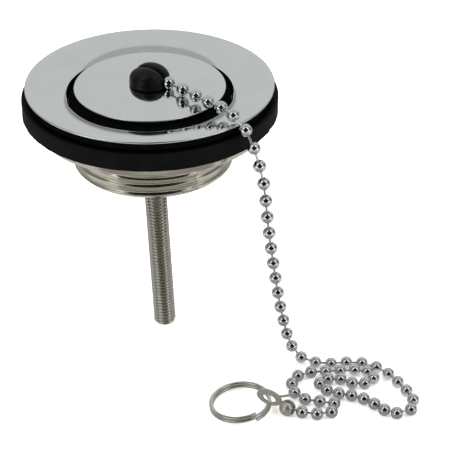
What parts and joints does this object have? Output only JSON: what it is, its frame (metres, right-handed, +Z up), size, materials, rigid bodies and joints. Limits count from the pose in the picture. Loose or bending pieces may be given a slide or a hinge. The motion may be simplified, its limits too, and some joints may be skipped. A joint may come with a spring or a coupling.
{
  "type": "sink drain with plug and chain",
  "caption": "Sink drain: flange with clamped waste body, centre screw, rubber plug on a bead chain, and a split ring for fixing the chain.",
  "frame": {"origin": "on the drain's axis at the sink's surface, which is the underside of the top seal", "axes": "+Z up along the drain's axis, out of the sink; +X to the right and -Y towards the chain, as in the picture"},
  "size_m": [0.1006, 0.0817, 0.0795],
  "materials": {
    "polished_steel": "mirror-polished stainless steel",
    "satin_nickel": "satin nickel plate with turned rings",
    "steel": "plain rolled-thread steel",
    "black_rubber": "matt moulded rubber",
    "chrome": "bright plate on rolled balls",
    "zinc_plate": "dull zinc plate"
  },
  "bodies": {
    "drain": {"flange_plate": "polished_steel", "strainer_grid": "polished_steel", "top_seal": "black_rubber"},
    "clamp": {"waste_body": "satin_nickel", "sink_gasket": "black_rubber"},
    "screw": {"centre_screw": "steel"},
    "plug": {"plug_cap": "polished_steel", "plug_seal": "black_rubber"},
    "knob": {"chain_knob": "black_rubber", "chain_over_flange": "chrome", "chain_hanging": "chrome", "chain_pile_outer": "chrome", "chain_pile_inner": "chrome", "chain_pile_end": "chrome"},
    "connector": {"chain_connector": "zinc_plate"},
    "ring": {"split_ring": "zinc_plate"}
  },
  "joints": [
    {"name": "plug_lift", "type": "slide", "parent": "drain", "child": "plug", "axis": [0, 0, 1], "range_m": [0, 0.04]},
    {"name": "knob_swivel", "type": "hinge", "parent": "plug", "child": "knob", "pos_m": [0, 0, 0.00195], "axis": [0, 0, 1], "continuous": true},
    {"name": "connector_swivel", "type": "hinge", "parent": "knob", "child": "connector", "pos_m": [0.0331, -0.0438, -0.07009], "axis": [0, 0, 1], "range_deg": [0, 35]},
    {"name": "ring_swing", "type": "hinge", "parent": "connector", "child": "ring", "pos_m": [0.0287, -0.0408, -0.06944], "axis": [0.0197, 0.9998, 0], "range_deg": [0, 90]},
    {"name": "screw_turn", "type": "hinge", "parent": "drain", "child": "screw", "pos_m": [-0.0005, 0, -0.002], "axis": [-0.0427, 0, 0.9991], "range_deg": [0, 7200]},
    {"name": "body_draw", "type": "slide", "parent": "drain", "child": "clamp", "axis": [0.0427, 0, -0.9991], "range_m": [0, 0.02]}
  ],
  "couplings": [
    {"joint": "screw_turn", "follows": "body_draw", "rad_per_m": 6283.2}
  ]
}
